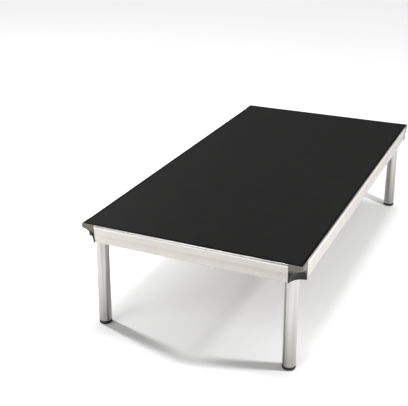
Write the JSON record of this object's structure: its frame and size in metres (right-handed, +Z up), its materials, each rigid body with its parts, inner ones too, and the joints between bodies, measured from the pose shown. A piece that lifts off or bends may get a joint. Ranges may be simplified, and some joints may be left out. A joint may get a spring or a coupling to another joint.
{
  "type": "stage riser platform",
  "caption": "Portable stage riser: a rectangular deck with a black anti-slip top, aluminium edge rails, dark corner castings and round removable legs with rubber feet.",
  "frame": {"origin": "on the floor under the middle of the deck", "axes": "+Z up, +Y along the long edges towards the back, +X along the short edges towards the right"},
  "size_m": [1, 2, 0.5],
  "materials": {
    "deck_surface": "matt black fine-grained anti-slip surface",
    "plywood": "birch plywood with a smooth dark film on both faces",
    "rail_aluminium": "satin brushed extrusion",
    "mill_aluminium": "mill finish extrusion",
    "dark_casting": "dark grey cast metal",
    "leg_aluminium": "bright drawn tube",
    "black_rubber": "matt black",
    "black_plastic": "moulded black",
    "natural_nylon": "natural nylon",
    "zinc_steel": "zinc plated"
  },
  "bodies": {
    "deck": {"deck_skin": "deck_surface", "deck_core": "plywood", "front_rail": "rail_aluminium", "back_rail": "rail_aluminium", "left_rail": "rail_aluminium", "right_rail": "rail_aluminium", "cross_member_front": "mill_aluminium", "cleat_front_left": "mill_aluminium", "cleat_bolt_front_left": "zinc_steel", "cleat_front_right": "mill_aluminium", "cleat_bolt_front_right": "zinc_steel", "cross_member_middle": "mill_aluminium", "cleat_middle_left": "mill_aluminium", "cleat_bolt_middle_left": "zinc_steel", "cleat_middle_right": "mill_aluminium", "cleat_bolt_middle_right": "zinc_steel", "cross_member_back": "mill_aluminium", "cleat_back_left": "mill_aluminium", "cleat_bolt_back_left": "zinc_steel", "cleat_back_right": "mill_aluminium", "cleat_bolt_back_right": "zinc_steel", "corner_casting_front_left": "dark_casting", "rail_bolt_front_left_a": "zinc_steel", "rail_bolt_front_left_b": "zinc_steel", "corner_casting_front_right": "dark_casting", "rail_bolt_front_right_a": "zinc_steel", "rail_bolt_front_right_b": "zinc_steel", "corner_casting_back_right": "dark_casting", "rail_bolt_back_right_a": "zinc_steel", "rail_bolt_back_right_b": "zinc_steel", "corner_casting_back_left": "dark_casting", "rail_bolt_back_left_a": "zinc_steel", "rail_bolt_back_left_b": "zinc_steel"},
    "leg_front_left": {"leg_front_left": "leg_aluminium", "leg_plug_front_left": "black_plastic", "foot_cap_front_left": "black_rubber"},
    "clamp_pad_front_left": {"clamp_pad_front_left": "natural_nylon"},
    "clamp_screw_front_left": {"clamp_screw_front_left": "zinc_steel", "clamp_knob_front_left": "black_plastic"},
    "leg_front_right": {"leg_front_right": "leg_aluminium", "leg_plug_front_right": "black_plastic", "foot_cap_front_right": "black_rubber"},
    "clamp_pad_front_right": {"clamp_pad_front_right": "natural_nylon"},
    "clamp_screw_front_right": {"clamp_screw_front_right": "zinc_steel", "clamp_knob_front_right": "black_plastic"},
    "leg_back_right": {"leg_back_right": "leg_aluminium", "leg_plug_back_right": "black_plastic", "foot_cap_back_right": "black_rubber"},
    "clamp_pad_back_right": {"clamp_pad_back_right": "natural_nylon"},
    "clamp_screw_back_right": {"clamp_screw_back_right": "zinc_steel", "clamp_knob_back_right": "black_plastic"},
    "leg_back_left": {"leg_back_left": "leg_aluminium", "leg_plug_back_left": "black_plastic", "foot_cap_back_left": "black_rubber"},
    "clamp_pad_back_left": {"clamp_pad_back_left": "natural_nylon"},
    "clamp_screw_back_left": {"clamp_screw_back_left": "zinc_steel", "clamp_knob_back_left": "black_plastic"}
  },
  "joints": [
    {"name": "leg_slide_front_left", "type": "slide", "parent": "deck", "child": "leg_front_left", "axis": [0, 0, -1], "range_m": [0, 0.05]},
    {"name": "clamp_pad_slide_front_left", "type": "slide", "parent": "deck", "child": "clamp_pad_front_left", "axis": [0.7071, 0.7071, 0], "range_m": [0, 0.003]},
    {"name": "clamp_screw_turn_front_left", "type": "hinge", "parent": "clamp_pad_front_left", "child": "clamp_screw_front_left", "pos_m": [-0.436, -0.936, 0.45], "axis": [0.7071, 0.7071, 0], "range_deg": [0, 720]},
    {"name": "leg_slide_front_right", "type": "slide", "parent": "deck", "child": "leg_front_right", "axis": [0, 0, -1], "range_m": [0, 0.05]},
    {"name": "clamp_pad_slide_front_right", "type": "slide", "parent": "deck", "child": "clamp_pad_front_right", "axis": [-0.7071, 0.7071, 0], "range_m": [0, 0.003]},
    {"name": "clamp_screw_turn_front_right", "type": "hinge", "parent": "clamp_pad_front_right", "child": "clamp_screw_front_right", "pos_m": [0.436, -0.936, 0.45], "axis": [-0.7071, 0.7071, 0], "range_deg": [0, 720]},
    {"name": "leg_slide_back_right", "type": "slide", "parent": "deck", "child": "leg_back_right", "axis": [0, 0, -1], "range_m": [0, 0.05]},
    {"name": "clamp_pad_slide_back_right", "type": "slide", "parent": "deck", "child": "clamp_pad_back_right", "axis": [-0.7071, -0.7071, 0], "range_m": [0, 0.003]},
    {"name": "clamp_screw_turn_back_right", "type": "hinge", "parent": "clamp_pad_back_right", "child": "clamp_screw_back_right", "pos_m": [0.436, 0.936, 0.45], "axis": [-0.7071, -0.7071, 0], "range_deg": [0, 720]},
    {"name": "leg_slide_back_left", "type": "slide", "parent": "deck", "child": "leg_back_left", "axis": [0, 0, -1], "range_m": [0, 0.05]},
    {"name": "clamp_pad_slide_back_left", "type": "slide", "parent": "deck", "child": "clamp_pad_back_left", "axis": [0.7071, -0.7071, 0], "range_m": [0, 0.003]},
    {"name": "clamp_screw_turn_back_left", "type": "hinge", "parent": "clamp_pad_back_left", "child": "clamp_screw_back_left", "pos_m": [-0.436, 0.936, 0.45], "axis": [0.7071, -0.7071, 0], "range_deg": [0, 720]}
  ],
  "couplings": [
    {"joint": "clamp_screw_turn_front_left", "follows": "clamp_pad_slide_front_left", "rad_per_m": 4184.6},
    {"joint": "clamp_screw_turn_front_right", "follows": "clamp_pad_slide_front_right", "rad_per_m": 4184.6},
    {"joint": "clamp_screw_turn_back_right", "follows": "clamp_pad_slide_back_right", "rad_per_m": 4184.6},
    {"joint": "clamp_screw_turn_back_left", "follows": "clamp_pad_slide_back_left", "rad_per_m": 4184.6}
  ]
}
